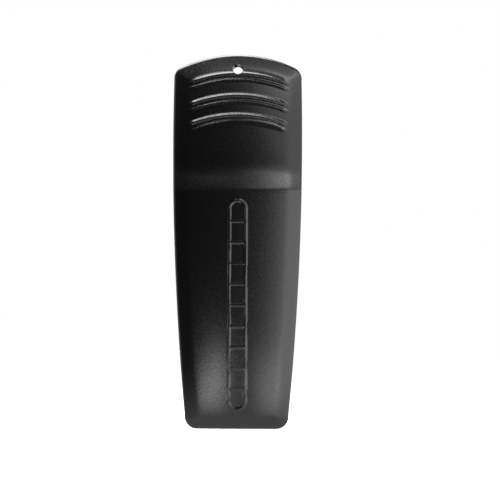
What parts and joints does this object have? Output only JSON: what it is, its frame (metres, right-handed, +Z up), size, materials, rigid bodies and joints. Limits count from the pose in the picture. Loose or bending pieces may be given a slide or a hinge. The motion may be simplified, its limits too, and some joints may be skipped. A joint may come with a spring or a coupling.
{
  "type": "radio belt clip",
  "caption": "Spring-loaded belt clip for a portable two-way radio, with a ribbed thumb lever, a lanyard hole and a slide-on base with a latch.",
  "frame": {"origin": "on the base plate's rear face, midway between the two slide rails and midway along them", "axes": "+Y out of the rear face, towards the radio; +Z up, towards the thumb end; +X to the right when facing the lever from the front"},
  "size_m": [0.027, 0.0177, 0.0785],
  "materials": {
    "lever_plastic": "black moulding with a fine satin grain",
    "base_plastic": "black moulding, plain matt",
    "sleeve_plastic": "natural unpigmented plastic",
    "spring_steel": "drawn spring wire, lightly oiled",
    "pin_steel": "bright turned steel",
    "latch_steel": "satin stainless strip"
  },
  "bodies": {
    "base": {"base_plate": "base_plastic", "hinge_pin": "pin_steel", "retaining_ring": "spring_steel", "spring_sleeve": "sleeve_plastic", "torsion_spring": "spring_steel", "latch_rivet_left": "latch_steel", "latch_rivet_right": "latch_steel"},
    "lever": {"clip_lever": "lever_plastic"},
    "latch": {"latch_leaf": "latch_steel"}
  },
  "joints": [
    {"name": "lever_hinge", "type": "hinge", "parent": "base", "child": "lever", "pos_m": [0, -0.0062, 0.003], "axis": [-1, 0, 0], "range_deg": [0, 10.5], "stiffness_Nm_per_rad": 0.35, "springref_deg": -40.11, "deforming": ["torsion_spring"]},
    {"name": "latch_flex", "type": "hinge", "parent": "base", "child": "latch", "pos_m": [0, -0.0026, -0.0025], "axis": [-1, 0, 0], "range_deg": [0, 5], "stiffness_Nm_per_rad": 0.9}
  ]
}
